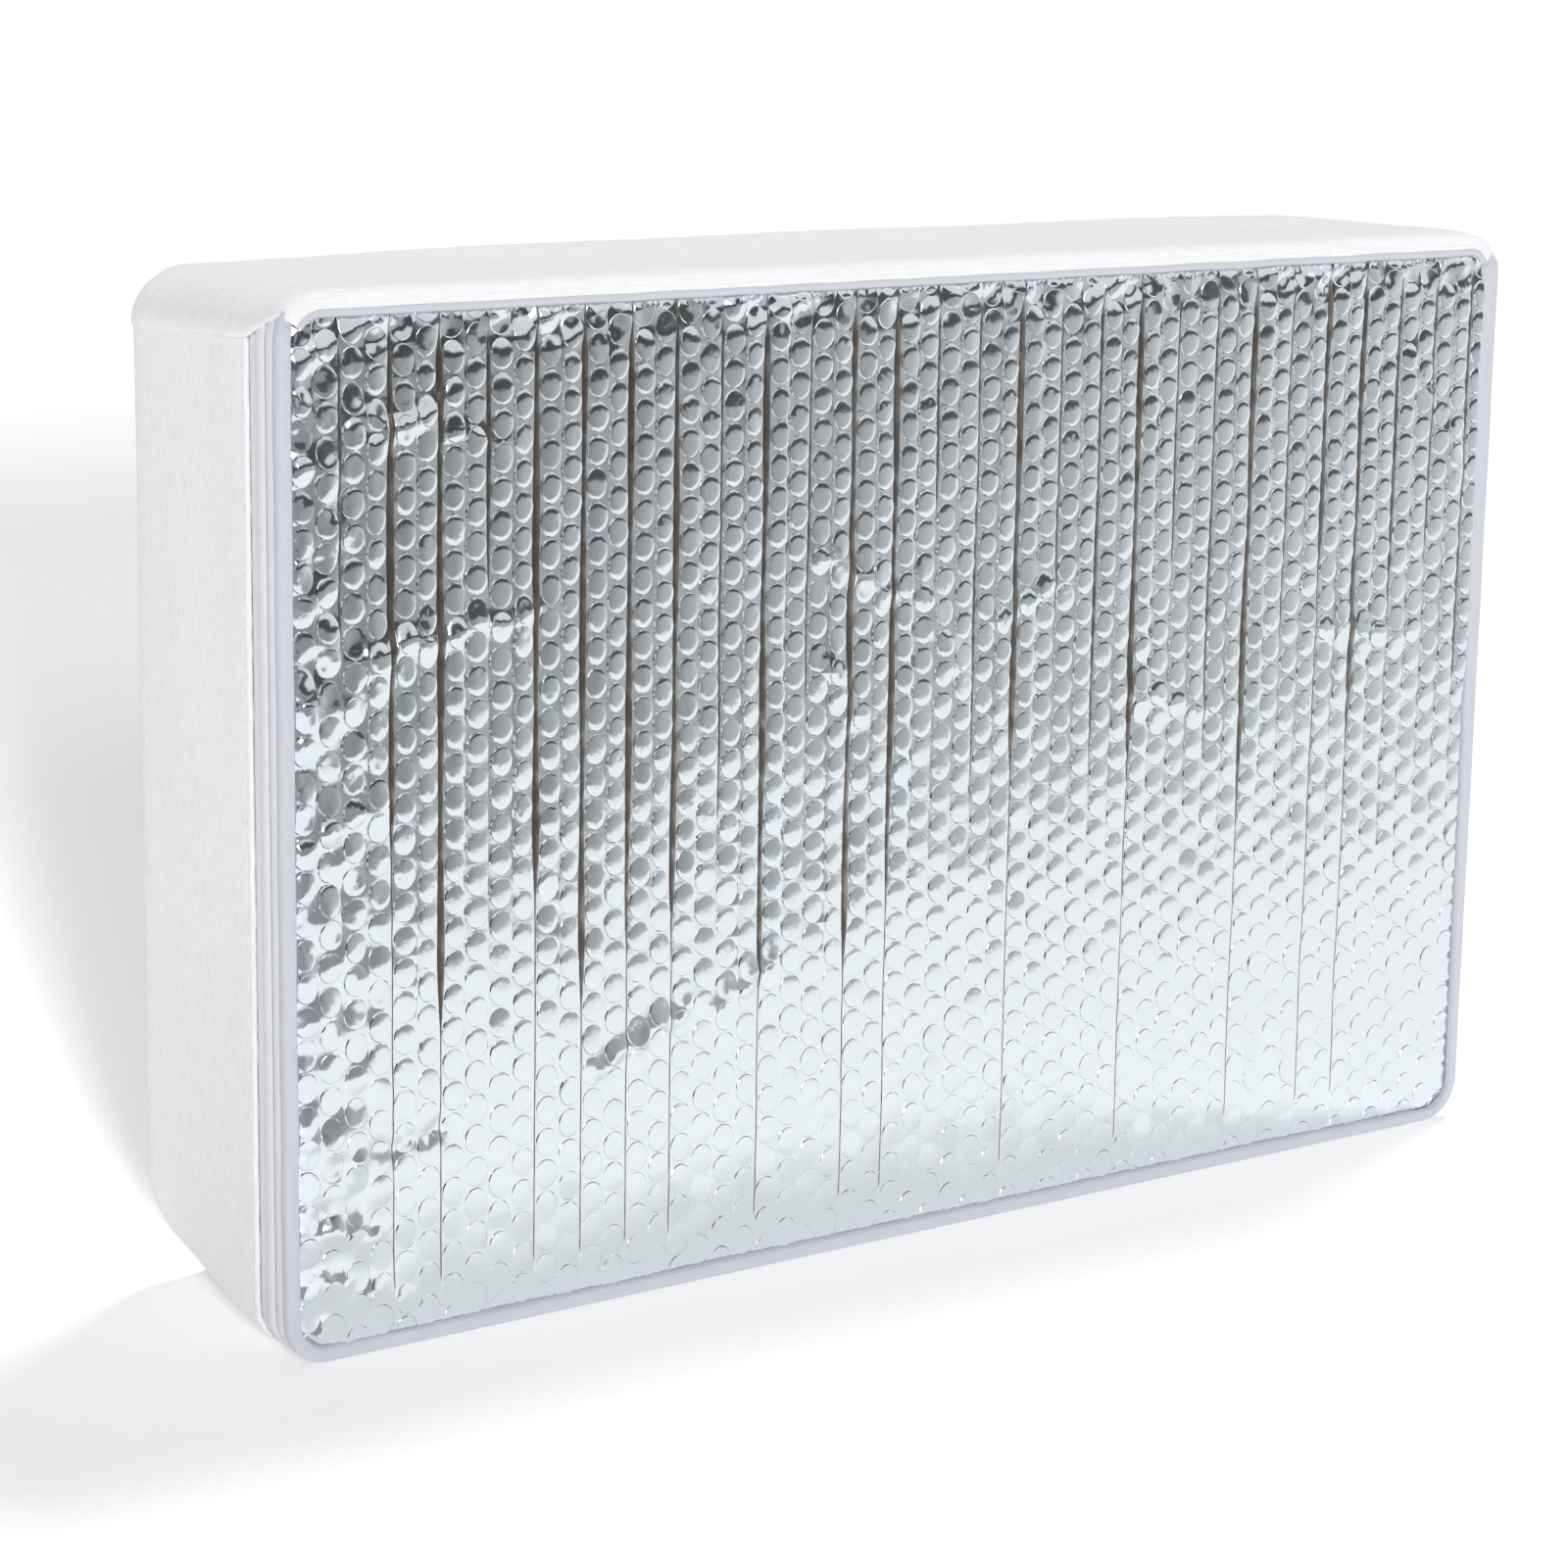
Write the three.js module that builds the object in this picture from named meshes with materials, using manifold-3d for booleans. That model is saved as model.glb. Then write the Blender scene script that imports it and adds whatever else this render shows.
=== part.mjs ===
// A thick insulating foam pad in a zipped fabric cover with a bubble-foil front face.
// Millimetres, +Z up. The pad stands on its long edge: the origin is the middle of the
// flat bottom, the foil faces -Y and the zipper runs down the left side, along the bottom
// and up the right side (+X), where its slider is parked.

import * as THREE from 'three';
import { mergeVertices } from 'three/addons/utils/BufferGeometryUtils.js';
import Module from 'manifold-3d';

// ---- Driving dimensions ---------------------------------------------------------------

// The cover, outside.
const padWidth = 540;
const padDepth = 108;
const padHeight = 360;
const cornerRadius = 24;

// Fabric and clearances.
const fabricThickness = 1.8;
const gap = 0.3;
const foilThickness = 4;
const borderWidth = 5;
const borderDepth = 4.2;
const topRoll = 8;

// The zipper. The cloth stops short of the slider by these two widths.
const borderToSlider = 0.8;
const sliderToHem = 6;
const tapeBehindFoil = 0.5;
const tapeUnderHem = 3.5;
const tapeThickness = 0.7;
const coilWidth = 2.7;
const coilThickness = 2.4;
const stopLength = 2.6;

// How far up the rounded top corner the side strips end, as an angle from horizontal.
const lapAngle = THREE.MathUtils.degToRad(36);

// The slider.
const sliderLength = 11.5;
const sliderPlate = 1.2;
const sliderFlange = 1.0;
const sliderRim = 0.3;
const noseFlare = 0.75;
const wedgeWidth = 1.6;
const wedgeLength = 4.5;
const bridgeWidth = 2.4;
const bridgeWall = 0.9;
const bridgeSpan = 6.4;
const sliderBelowCorner = 4;

// The pull tab.
const pullLength = 27;
const pullWidth = 6.4;
const pullThickness = 1.3;
const pullArm = 1.2;
const eyeSideClearance = 0.4;
const eyeEndClearance = 1;
const pullHoleWidth = 3;
const pullHoleLength = 9;

// Steps in a rounded corner.
const arcSteps = 10;

// ---- Places worked out from them ------------------------------------------------------

// Half widths of the slider, which holds the two coils between its flanges.
const halfGap = gap / 2;
const halfChannel = halfGap + coilWidth + gap;
const halfTail = halfChannel + sliderFlange + sliderRim;
const halfNose = halfTail + noseFlare;

// From front to back. The tapes meet on the zip line.
const frontY = -padDepth / 2;
const backY = padDepth / 2;
const borderBackY = frontY + borderDepth;
const zipLineY = borderBackY + borderToSlider + halfNose;
const rearStripFrontY = zipLineY + halfNose + sliderToHem;
const gussetBackY = backY - fabricThickness - gap;
const frontTapeY = frontY + foilThickness + tapeBehindFoil;
const rearTapeBackY = rearStripFrontY + tapeUnderHem;

// Depths below the cover's outer surface.
const tapeOuter = fabricThickness + gap;
const tapeInner = tapeOuter + tapeThickness;
const coilOuter = tapeInner + gap;
const coilInner = coilOuter + coilThickness;
const lowerPlateOuter = coilInner + gap;
const lowerPlateInner = lowerPlateOuter + sliderPlate;
const foamRebate = lowerPlateInner + gap;
const upperPlateInner = tapeOuter - gap;
const upperPlateOuter = upperPlateInner - sliderPlate;

// Distances along the perimeter, from the middle of the bottom.
const halfBottom = padWidth / 2 - cornerRadius;
const cornerLength = (cornerRadius * Math.PI) / 2;
const sideLength = padHeight - 2 * cornerRadius;
const sideEnd = halfBottom + cornerLength + sideLength;
const lapEnd = sideEnd + cornerRadius * lapAngle;
const topMiddle = sideEnd + cornerLength + halfBottom;

// The slider's place on the right side, with its nose up.
const sideX = padWidth / 2;
const sliderTopZ = padHeight - cornerRadius - sliderBelowCorner;
const sliderMiddleZ = sliderTopZ - sliderLength / 2;
const wedgeBottomZ = sliderTopZ - wedgeLength;
const pullAxisX = sideX - upperPlateOuter + gap + pullThickness / 2;
const pullAxisZ = sliderMiddleZ;
const bridgeTopX = pullAxisX + pullThickness / 2 + gap + bridgeWall;
const halfEye = bridgeWidth / 2 + eyeSideClearance;
const halfNeck = halfEye + pullArm;
const eyeLength = bridgeSpan / 2 + eyeEndClearance;

// ---- Materials ------------------------------------------------------------------------

function matte(name, color, roughness) {
  return new THREE.MeshStandardMaterial({ name, color, roughness, metalness: 0 });
}

const coverFabric = matte('cover_fabric', 0xf0f0f2, 0.9);
const borderFabric = matte('border_fabric', 0xe4e5ee, 0.7);
const tapeFabric = matte('tape_fabric', 0xe9e9ef, 0.75);
const coilPlastic = matte('coil_plastic', 0xececee, 0.45);
const foam = matte('foam', 0xeeeadb, 1.0);
const foil = new THREE.MeshStandardMaterial({
  name: 'foil',
  color: 0xdadcde,
  roughness: 0.18,
  metalness: 1,
});
const zincEnamel = new THREE.MeshStandardMaterial({
  name: 'zinc_enamel',
  color: 0xe8e8ea,
  roughness: 0.35,
  metalness: 0,
});

// ---- The perimeter --------------------------------------------------------------------

// The corners that a walk along the perimeter passes, as arc centres.
function cornerCentre(upper) {
  const x = padWidth / 2 - cornerRadius;
  return new THREE.Vector2(x, upper ? padHeight - cornerRadius : cornerRadius);
}

// The point at a distance along the perimeter, positive on the +X side, at a depth below
// the outer surface.
function perimeterPoint(distance, depth) {
  const side = Math.sign(distance) || 1;
  const along = Math.abs(distance);
  const radius = cornerRadius - depth;
  let point;
  if (along <= halfBottom) {
    point = new THREE.Vector2(along, depth);
  } else if (along <= halfBottom + cornerLength) {
    const angle = (along - halfBottom) / cornerRadius - Math.PI / 2;
    point = cornerCentre(false).add(polar(radius, angle));
  } else if (along <= sideEnd) {
    const height = cornerRadius + along - halfBottom - cornerLength;
    point = new THREE.Vector2(padWidth / 2 - depth, height);
  } else if (along <= sideEnd + cornerLength) {
    const angle = (along - sideEnd) / cornerRadius;
    point = cornerCentre(true).add(polar(radius, angle));
  } else {
    point = new THREE.Vector2(topMiddle - along, padHeight - depth);
  }
  point.x *= side;
  return point;
}

function polar(radius, angle) {
  return new THREE.Vector2(radius * Math.cos(angle), radius * Math.sin(angle));
}

// The distances between two ends where the perimeter needs a point: its ends, and every
// step of the corners.
function perimeterSteps(start, end) {
  const steps = [start];
  for (const side of [-1, 1]) {
    for (const from of [halfBottom, sideEnd]) {
      for (let i = 0; i <= arcSteps; i += 1) {
        steps.push(side * (from + (cornerLength * i) / arcSteps));
      }
    }
  }
  steps.push(end);
  const inside = steps.filter((s) => s >= start && s <= end);
  inside.sort((a, b) => a - b);
  return inside.filter((s, i) => i === 0 || s - inside[i - 1] > 1e-6);
}

// ---- Building blocks ------------------------------------------------------------------

// A flat shape drawn in X and Z, given depth from one Y to another.
function extrudeXZ(shape, fromY, toY) {
  const geometry = new THREE.ExtrudeGeometry(shape, {
    depth: toY - fromY,
    bevelEnabled: false,
    curveSegments: arcSteps,
  });
  geometry.rotateX(Math.PI / 2);
  geometry.translate(0, toY, 0);
  return geometry;
}

// A strip that follows the perimeter from one distance to another.
function perimeterStrip(start, end, outerDepth, innerDepth, fromY, toY) {
  const steps = perimeterSteps(start, end);
  const outer = steps.map((s) => perimeterPoint(s, outerDepth));
  const inner = steps.map((s) => perimeterPoint(s, innerDepth));
  return extrudeXZ(new THREE.Shape([...outer, ...inner.reverse()]), fromY, toY);
}

// A slab whose outline is the perimeter, set in by its own amount at the sides and bottom
// and at the top.
function slab(inset, topInset, fromY, toY) {
  const left = -padWidth / 2 + inset;
  const right = padWidth / 2 - inset;
  const lowRadius = cornerRadius - inset;
  const highRadius = cornerRadius - topInset;
  const top = padHeight - topInset;
  const quarter = Math.PI / 2;
  const shape = new THREE.Shape();
  shape.moveTo(left + lowRadius, inset);
  shape.absarc(right - lowRadius, inset + lowRadius, lowRadius, -quarter, 0, false);
  shape.absarc(right - highRadius, top - highRadius, highRadius, 0, quarter, false);
  shape.absarc(left + highRadius, top - highRadius, highRadius, quarter, 2 * quarter, false);
  shape.absarc(left + lowRadius, inset + lowRadius, lowRadius, 2 * quarter, 3 * quarter, false);
  shape.closePath();
  return extrudeXZ(shape, fromY, toY);
}

// A box between two corners.
function boxBetween(low, high) {
  const size = high.map((value, i) => value - low[i]);
  const middle = high.map((value, i) => (value + low[i]) / 2);
  const geometry = new THREE.BoxGeometry(...size);
  geometry.translate(...middle);
  return geometry;
}

// A flat shape drawn in Y and Z, given thickness from one X to another.
function extrudeYZ(shape, fromX, toX) {
  const geometry = new THREE.ExtrudeGeometry(shape, {
    depth: toX - fromX,
    bevelEnabled: false,
    curveSegments: 8,
  });
  geometry.applyMatrix4(new THREE.Matrix4().set(0, 0, 1, fromX, 1, 0, 0, 0, 0, 1, 0, 0, 0, 0, 0, 1));
  return geometry;
}

// ---- Joining and cutting --------------------------------------------------------------

const wasm = await Module();
wasm.setup();

function toSolid(geometry) {
  const bare = geometry.clone();
  bare.deleteAttribute('normal');
  bare.deleteAttribute('uv');
  const merged = mergeVertices(bare, 1e-5);
  return new wasm.Manifold(
    new wasm.Mesh({
      numProp: 3,
      vertProperties: new Float32Array(merged.attributes.position.array),
      triVerts: new Uint32Array(merged.index.array),
    }),
  );
}

function toGeometry(solid) {
  const mesh = solid.getMesh();
  const geometry = new THREE.BufferGeometry();
  const positions = new THREE.BufferAttribute(new Float32Array(mesh.vertProperties), 3);
  geometry.setAttribute('position', positions);
  geometry.setIndex(new THREE.BufferAttribute(new Uint32Array(mesh.triVerts), 1));
  geometry.computeVertexNormals();
  return geometry;
}

function joined(...geometries) {
  const solids = geometries.map(toSolid);
  return toGeometry(solids.reduce((whole, piece) => whole.add(piece)));
}

function cut(geometry, ...tools) {
  const start = toSolid(geometry);
  return toGeometry(tools.reduce((left, tool) => left.subtract(toSolid(tool)), start));
}

// ---- The pad --------------------------------------------------------------------------

// The foam block fills the cover. Its front edge is set back on three sides, where the
// zipper chain and the slider press into it.
function foamCore() {
  const skin = fabricThickness + gap;
  const frontFaceY = frontY + foilThickness + gap;
  const backFaceY = gussetBackY - gap;
  const rear = slab(skin, skin, rearTapeBackY + gap, backFaceY);
  const front = slab(foamRebate, skin, frontFaceY, backFaceY);
  return joined(rear, front);
}

// The front face, a laminate of bubbles between two metallised films.
function foilBubblePanel() {
  const inset = borderWidth + gap;
  const sheet = slab(inset, inset, frontY, frontY + foilThickness);
  const pastFace = foilThickness;
  const underRoll = topStrip(lapEnd - gap, topRoll + gap, frontY - pastFace, frontY + 2 * foilThickness);
  return cut(sheet, underRoll);
}

function backPanel() {
  return slab(0, 0, backY - fabricThickness, backY);
}

// The top strip is as deep as the pad and laps over both top corners, where it covers the
// ends of the zipper. Its front edge is rolled over the top of the foil face.
function topGusset() {
  const web = topStrip(lapEnd, fabricThickness, frontY, gussetBackY);
  const roll = topStrip(lapEnd, topRoll, frontY, frontY + foilThickness);
  return joined(web, roll);
}

// A strip over the top, between the points at one distance along both sides.
function topStrip(end, depth, fromY, toY) {
  const steps = perimeterSteps(end, topMiddle);
  const overTheTop = (below) => {
    const right = steps.map((s) => perimeterPoint(s, below));
    const left = right.slice(0, -1).reverse().map((p) => new THREE.Vector2(-p.x, p.y));
    return [...right, ...left];
  };
  return extrudeXZ(new THREE.Shape([...overTheTop(0), ...overTheTop(depth).reverse()]), fromY, toY);
}

// The side and bottom strip behind the zipper, one length round both lower corners.
function zipGussetRear() {
  const end = lapEnd - gap;
  return perimeterStrip(-end, end, 0, fabricThickness, rearStripFrontY, gussetBackY);
}

// The narrow rolled border between the foil face and the zipper.
function frontBorder() {
  const end = lapEnd - gap;
  return perimeterStrip(-end, end, 0, borderWidth, frontY, borderBackY);
}

// ---- The zipper -----------------------------------------------------------------------

// Where the tapes spread round the slider's wedge.
function wedgeClearance() {
  const low = [sideX - coilInner - gap, zipLineY - wedgeWidth / 2 - gap, wedgeBottomZ - gap];
  const high = [sideX, zipLineY + wedgeWidth / 2 + gap, sliderTopZ + gap];
  return boxBetween(low, high);
}

function zipperTape(fromY, toY) {
  const end = lapEnd - gap;
  return cut(perimeterStrip(-end, end, tapeOuter, tapeInner, fromY, toY), wedgeClearance());
}

// One half of the meshed chain, from the bottom stop to the slider's wedge.
function zipperCoil(fromY, toY) {
  const start = -(sideEnd - stopLength - gap);
  const end = sideEnd - sliderBelowCorner - wedgeLength - gap;
  return perimeterStrip(start, end, coilOuter, coilInner, fromY, toY);
}

function topStop(fromY, toY) {
  const lowZ = sliderTopZ + gap;
  const low = [sideX - coilInner, fromY, lowZ];
  return boxBetween(low, [sideX - coilOuter, toY, lowZ + stopLength]);
}

function bottomStop() {
  const highZ = padHeight - cornerRadius;
  const halfWidth = coilWidth + halfGap;
  const low = [-sideX + coilOuter, zipLineY - halfWidth, highZ - stopLength];
  return boxBetween(low, [-sideX + coilInner, zipLineY + halfWidth, highZ]);
}

// The outline of a slider plate, wide at its nose and narrower at its tail.
function sliderOutline() {
  const low = sliderTopZ - sliderLength;
  const third = sliderLength / 3;
  const [leftTail, rightTail] = [zipLineY - halfTail, zipLineY + halfTail];
  const [leftNose, rightNose] = [zipLineY - halfNose, zipLineY + halfNose];
  const shape = new THREE.Shape();
  shape.moveTo(leftTail, low);
  shape.lineTo(rightTail, low);
  shape.lineTo(rightTail, low + third);
  shape.lineTo(rightNose, sliderTopZ - third);
  shape.quadraticCurveTo(rightNose, sliderTopZ, zipLineY + halfNose / 2, sliderTopZ);
  shape.lineTo(zipLineY - halfNose / 2, sliderTopZ);
  shape.quadraticCurveTo(leftNose, sliderTopZ, leftNose, sliderTopZ - third);
  shape.lineTo(leftTail, low + third);
  shape.closePath();
  return shape;
}

// The arch over the upper plate that holds the pull.
function sliderBridge() {
  const footX = sideX - upperPlateOuter - gap;
  const halfOuter = bridgeSpan / 2;
  const halfInner = halfOuter - bridgeWall;
  const shape = new THREE.Shape();
  shape.moveTo(footX, pullAxisZ - halfOuter);
  shape.lineTo(bridgeTopX - bridgeWall, pullAxisZ - halfOuter);
  shape.lineTo(bridgeTopX, pullAxisZ - halfInner);
  shape.lineTo(bridgeTopX, pullAxisZ + halfInner);
  shape.lineTo(bridgeTopX - bridgeWall, pullAxisZ + halfOuter);
  shape.lineTo(footX, pullAxisZ + halfOuter);
  shape.lineTo(footX, pullAxisZ + halfInner);
  shape.lineTo(bridgeTopX - bridgeWall, pullAxisZ + halfInner);
  shape.lineTo(bridgeTopX - bridgeWall, pullAxisZ - halfInner);
  shape.lineTo(footX, pullAxisZ - halfInner);
  shape.closePath();
  return extrudeXZ(shape, zipLineY - bridgeWidth / 2, zipLineY + bridgeWidth / 2);
}

// Two plates joined by the wedge at the nose, with flanges that hold the chain.
function sliderBody() {
  const upper = extrudeYZ(sliderOutline(), sideX - upperPlateInner, sideX - upperPlateOuter);
  const lower = extrudeYZ(sliderOutline(), sideX - lowerPlateInner, sideX - lowerPlateOuter);
  const overlap = sliderPlate / 2;
  const wedge = boxBetween(
    [sideX - lowerPlateOuter - overlap, zipLineY - wedgeWidth / 2, wedgeBottomZ],
    [sideX - upperPlateInner + overlap, zipLineY + wedgeWidth / 2, sliderTopZ],
  );
  const flanges = [-1, 1].map((side) => {
    const edges = [side * halfChannel, side * (halfChannel + sliderFlange)].sort((a, b) => a - b);
    return boxBetween(
      [sideX - lowerPlateOuter - overlap, zipLineY + edges[0], sliderTopZ - sliderLength],
      [sideX - coilOuter, zipLineY + edges[1], sliderTopZ - sliderLength / 3],
    );
  });
  return joined(upper, lower, wedge, ...flanges, sliderBridge());
}

// The pull hangs from the bridge by the bar at the top of its eye.
function sliderPull() {
  const halfWidth = pullWidth / 2;
  const halfBar = pullThickness / 2;
  const tipZ = pullAxisZ - pullLength;
  const tabX = [pullAxisX - halfBar, pullAxisX + halfBar];
  const outline = new THREE.Shape();
  outline.moveTo(zipLineY + halfNeck, pullAxisZ);
  outline.lineTo(zipLineY - halfNeck, pullAxisZ);
  outline.lineTo(zipLineY - halfNeck, pullAxisZ - eyeLength - pullThickness);
  outline.lineTo(zipLineY - halfWidth, pullAxisZ - pullLength / 2);
  outline.lineTo(zipLineY - halfWidth, tipZ + halfWidth);
  outline.absarc(zipLineY, tipZ + halfWidth, halfWidth, Math.PI, 2 * Math.PI, false);
  outline.lineTo(zipLineY + halfWidth, pullAxisZ - pullLength / 2);
  outline.lineTo(zipLineY + halfNeck, pullAxisZ - eyeLength - pullThickness);
  outline.closePath();
  const tab = extrudeYZ(outline, ...tabX);
  const bar = new THREE.CylinderGeometry(halfBar, halfBar, 2 * halfNeck, 16);
  bar.translate(pullAxisX, zipLineY, pullAxisZ);
  const eye = boxBetween(
    [tabX[0] - 1, zipLineY - halfEye, pullAxisZ - eyeLength - halfBar],
    [tabX[1] + 1, zipLineY + halfEye, pullAxisZ + 1],
  );
  const slot = new THREE.Shape();
  const slotHighZ = tipZ + halfWidth + pullHoleLength - pullHoleWidth;
  slot.absarc(zipLineY, tipZ + halfWidth, pullHoleWidth / 2, Math.PI, 2 * Math.PI, false);
  slot.absarc(zipLineY, slotHighZ, pullHoleWidth / 2, 0, Math.PI, false);
  slot.closePath();
  const plate = cut(tab, eye, extrudeYZ(slot, tabX[0] - 1, tabX[1] + 1));
  return joined(plate, bar);
}

// ---- The scene graph ------------------------------------------------------------------

const pad = new THREE.Group();

function add(name, geometry, material) {
  const mesh = new THREE.Mesh(geometry, material);
  mesh.name = name;
  pad.add(mesh);
}

add('foam_core', foamCore(), foam);
add('foil_bubble_panel', foilBubblePanel(), foil);
add('back_panel', backPanel(), coverFabric);
add('top_gusset', topGusset(), coverFabric);
add('zip_gusset_rear', zipGussetRear(), coverFabric);
add('front_border', frontBorder(), borderFabric);
add('zipper_tape_front', zipperTape(frontTapeY, zipLineY - halfGap), tapeFabric);
add('zipper_tape_rear', zipperTape(zipLineY + halfGap, rearTapeBackY), tapeFabric);
add('zipper_coil_front', zipperCoil(zipLineY - halfGap - coilWidth, zipLineY - halfGap), coilPlastic);
add('zipper_coil_rear', zipperCoil(zipLineY + halfGap, zipLineY + halfGap + coilWidth), coilPlastic);
add('top_stop_front', topStop(zipLineY - halfGap - coilWidth, zipLineY - halfGap), coilPlastic);
add('top_stop_rear', topStop(zipLineY + halfGap, zipLineY + halfGap + coilWidth), coilPlastic);
add('bottom_stop', bottomStop(), coilPlastic);
add('slider_body', sliderBody(), zincEnamel);
add('slider_pull', sliderPull(), zincEnamel);

export default pad;
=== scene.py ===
"""The looks of a thick foam insulating pad in a zipped fabric cover with a bubble-foil face.

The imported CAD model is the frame. Cover, foil, foam, tapes and thread are built here as meshes
around it, and the slider, its pull, the coils and the stops are the CAD parts with new materials.
Lengths are in millimetres until a mesh is made, and in metres for the camera and the studio.
+Z is up, the foil faces -Y and the slider is on +X.
"""

import math

import bmesh
import bpy
import numpy as np
from mathutils import Matrix, Vector


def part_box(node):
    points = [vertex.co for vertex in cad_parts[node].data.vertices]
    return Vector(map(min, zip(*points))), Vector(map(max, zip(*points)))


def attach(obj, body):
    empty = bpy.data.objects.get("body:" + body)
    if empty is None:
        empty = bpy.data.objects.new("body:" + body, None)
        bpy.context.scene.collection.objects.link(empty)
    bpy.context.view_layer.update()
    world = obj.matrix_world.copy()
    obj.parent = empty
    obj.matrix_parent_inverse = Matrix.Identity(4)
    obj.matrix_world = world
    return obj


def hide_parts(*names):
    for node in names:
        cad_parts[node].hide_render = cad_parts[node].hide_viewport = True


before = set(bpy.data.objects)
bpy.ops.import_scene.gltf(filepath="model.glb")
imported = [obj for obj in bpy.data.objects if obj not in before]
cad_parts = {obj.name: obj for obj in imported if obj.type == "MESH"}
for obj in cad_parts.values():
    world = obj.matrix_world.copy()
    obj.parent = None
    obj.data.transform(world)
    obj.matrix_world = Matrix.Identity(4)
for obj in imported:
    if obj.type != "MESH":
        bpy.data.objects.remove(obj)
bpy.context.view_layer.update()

MM = 0.001
rng = np.random.default_rng(7)


# ---- Places, from the frame ----------------------------------------------------------------


def box_mm(node):
    """The lowest and highest corners of a CAD node at rest, in millimetres."""
    low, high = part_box(node)
    return np.array(low) / MM, np.array(high) / MM


HALF_WIDTH, BACK, HEIGHT = box_mm("back_panel")[1]
FRONT = box_mm("front_border")[0][1]
BORDER_BACK = box_mm("front_border")[1][1]
HEM = box_mm("zip_gusset_rear")[0][1]
FOIL_TOP = box_mm("foil_bubble_panel")[1][2]
ZIP_LINE = (box_mm("zipper_tape_front")[1][1] + box_mm("zipper_tape_rear")[0][1]) / 2
TAPE_END = box_mm("zipper_tape_rear")[1][1]
TAPE_DEPTH = HALF_WIDTH - box_mm("zipper_tape_rear")[1][0]

CORNER_RADIUS = 24.0
HALF_BOTTOM = HALF_WIDTH - CORNER_RADIUS
CORNER = CORNER_RADIUS * math.pi / 2
SIDE = HEIGHT - 2 * CORNER_RADIUS
SIDE_START = HALF_BOTTOM + CORNER
SIDE_END = SIDE_START + SIDE
TOP_MIDDLE = SIDE_END + CORNER + HALF_BOTTOM


# ---- The pad's outline ---------------------------------------------------------------------


def smooth(value, start, end):
    """0 before start, 1 after end, with a soft step between."""
    t = np.clip((np.asarray(value, float) - start) / (end - start), 0, 1)
    return t * t * (3 - 2 * t)


def bump(value, middle, width):
    """1 at the middle, fading to either side."""
    return np.exp(-(((np.asarray(value, float) - middle) / width) ** 2))


# Radii of the four corners, seen from the front. They are tight round the foil face and
# looser towards the back, where the cover is slack.
FRONT_RADIUS = 16.5
BACK_RADIUS_LOWER = 43.0
BACK_RADIUS_UPPER_LEFT = 20.0
BACK_RADIUS_UPPER_RIGHT = 30.0


def outline(p, y, out=0.0):
    """Points at a distance p round the pad from the middle of its bottom, on the +X side first,
    at a depth y and standing out from the nominal surface. Past the middle of the top, p goes on
    down the -X side."""
    p, y, out = np.broadcast_arrays(np.asarray(p, float), y, out)
    p = np.where(p > TOP_MIDDLE, p - 2 * TOP_MIDDLE, p)
    side = np.where(p < 0, -1.0, 1.0)
    along = np.abs(p)
    back = smooth(y, FRONT + 20, BACK)
    lower = FRONT_RADIUS + (BACK_RADIUS_LOWER - FRONT_RADIUS) * back
    upper_back = np.where(side < 0, BACK_RADIUS_UPPER_LEFT, BACK_RADIUS_UPPER_RIGHT)
    upper = FRONT_RADIUS + (upper_back - FRONT_RADIUS) * back
    bottom = np.clip(along / HALF_BOTTOM, 0, 1)
    low_turn = np.clip((along - HALF_BOTTOM) / CORNER, 0, 1) * math.pi / 2 - math.pi / 2
    rise = np.clip((along - SIDE_START) / SIDE, 0, 1)
    high_turn = np.clip((along - SIDE_END) / CORNER, 0, 1) * math.pi / 2
    top = np.clip((along - SIDE_END - CORNER) / HALF_BOTTOM, 0, 1)
    x = (HALF_WIDTH - lower) * bottom + lower * np.cos(low_turn)
    x = x - upper * (1 - np.cos(high_turn)) - (HALF_WIDTH - upper) * top
    z = lower * (1 + np.sin(low_turn)) + (HEIGHT - lower - upper) * rise + upper * np.sin(high_turn)
    turn = low_turn + high_turn
    return np.stack([side * (x + out * np.cos(turn)), y, z + out * np.sin(turn)], -1)


def perimeter(start, end, step):
    """Distances from start to end, closer together in the corners."""
    marks = [start]
    while marks[-1] < end:
        p = marks[-1]
        s = p if p <= TOP_MIDDLE else p - 2 * TOP_MIDDLE
        corner = min(abs(abs(s) - HALF_BOTTOM - CORNER / 2), abs(abs(s) - SIDE_END - CORNER / 2))
        marks.append(p + (step if corner > CORNER / 2 + 4 else min(step, 1.7)))
    marks[-1] = end
    return np.array(marks)


def rounded(points, rounds=2):
    """A polyline with its corners cut, its ends kept."""
    line = np.array(points, float)
    for _ in range(rounds):
        first, second = line[:-1], line[1:]
        cut = np.stack([first * 0.75 + second * 0.25, first * 0.25 + second * 0.75], 1)
        line = np.concatenate([line[:1], cut.reshape(-1, line.shape[1])[1:-1], line[-1:]])
    return line


# ---- Meshes --------------------------------------------------------------------------------


def new_object(name, points, faces, uv=None, flat=False):
    """A mesh object from points in millimetres, faces and one texture point for each point.
    What would be below the floor lies on it."""
    above_floor = np.maximum(np.asarray(points, float), (-np.inf, -np.inf, 0.0))
    mesh = bpy.data.meshes.new(name)
    mesh.from_pydata((above_floor * MM).tolist(), [], [list(map(int, f)) for f in faces])
    mesh.validate(clean_customdata=False)
    if not flat:
        mesh.shade_smooth()
    if uv is not None:
        layer = mesh.uv_layers.new(name="cloth")
        corners = np.zeros(len(mesh.loops), np.int32)
        mesh.loops.foreach_get("vertex_index", corners)
        layer.data.foreach_set("uv", (np.asarray(uv)[corners] * MM).astype(np.float32).ravel())
    obj = bpy.data.objects.new(name, mesh)
    bpy.context.scene.collection.objects.link(obj)
    return obj


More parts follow.
